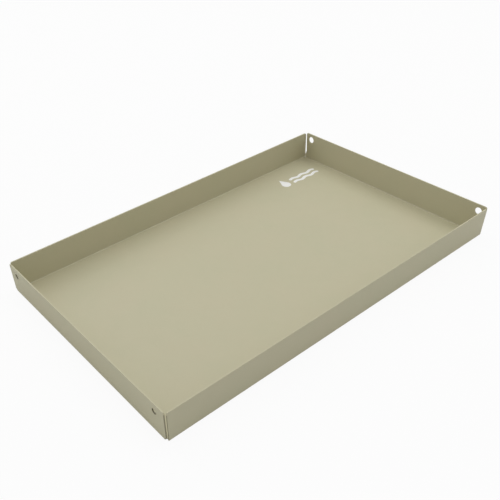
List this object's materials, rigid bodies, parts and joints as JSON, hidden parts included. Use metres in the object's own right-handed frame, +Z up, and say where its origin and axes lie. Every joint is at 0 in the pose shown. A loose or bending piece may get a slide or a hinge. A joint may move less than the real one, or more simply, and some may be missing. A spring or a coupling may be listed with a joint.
{
  "type": "oil drip pan",
  "caption": "Shallow rectangular pan folded from one sheet, with upright walls, open slits at the corners and round holes near the top corners of the short walls.",
  "frame": {"origin": "centre of the underside, on the surface the pan rests on", "axes": "+X along the length towards the right short wall, +Y across the width towards the back long wall, +Z up"},
  "size_m": [0.5, 0.3, 0.04],
  "materials": {
    "powder_coat": "matt powder coat, warm grey-green, fine orange peel",
    "printed_mark": "matt white ink printed on the coat; used by the visual model's mark only"
  },
  "bodies": {
    "root": {"folded_pan": "powder_coat"}
  },
  "joints": []
}
